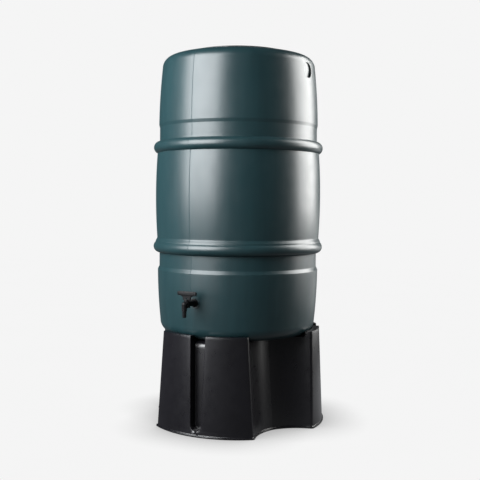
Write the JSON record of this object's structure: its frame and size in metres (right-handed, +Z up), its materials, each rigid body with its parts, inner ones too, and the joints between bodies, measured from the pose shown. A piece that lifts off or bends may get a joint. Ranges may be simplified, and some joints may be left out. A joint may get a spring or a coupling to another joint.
{
  "type": "rain barrel",
  "caption": "Tall ribbed rain barrel with a lid and a T-handle plug tap, standing on a three-lobed moulded stand.",
  "frame": {"origin": "on the floor, at the barrel's vertical axis, in the plane of the stand's foot", "axes": "+Z up; the tap is towards -Y and the filling pad towards +X"},
  "size_m": [0.557, 0.5823, 1.157],
  "materials": {
    "green_moulded": "dark green blow-moulded polyethylene with a satin skin",
    "black_moulded": "black moulded polypropylene with a fine satin grain",
    "black_gloss": "black moulded plastic, glossier than the stand",
    "black_tap": "black moulded plastic",
    "seal_rubber": "black rubber seals",
    "screw_steel": "plated steel screw"
  },
  "bodies": {
    "stand": {"stand": "black_moulded"},
    "barrel": {"barrel": "green_moulded", "tap_body": "black_tap", "tap_washer_outer": "seal_rubber", "tap_washer_inner": "seal_rubber", "tap_back_nut": "black_tap"},
    "lid": {"lid": "black_gloss"},
    "tap_key": {"tap_plug": "black_tap", "tap_handle": "black_tap", "plug_seal_upper": "seal_rubber", "plug_seal_lower": "seal_rubber", "plug_washer": "black_tap", "plug_screw": "screw_steel"}
  },
  "joints": [
    {"name": "barrel_lift", "type": "slide", "parent": "stand", "child": "barrel", "axis": [0, 0, 1], "range_m": [0, 0.15]},
    {"name": "lid_lift", "type": "slide", "parent": "barrel", "child": "lid", "axis": [0, 0, 1], "range_m": [0, 0.15]},
    {"name": "tap_turn", "type": "hinge", "parent": "barrel", "child": "tap_key", "pos_m": [0, -0.292, 0.391], "axis": [0, 0, 1], "range_deg": [0, 90]}
  ]
}
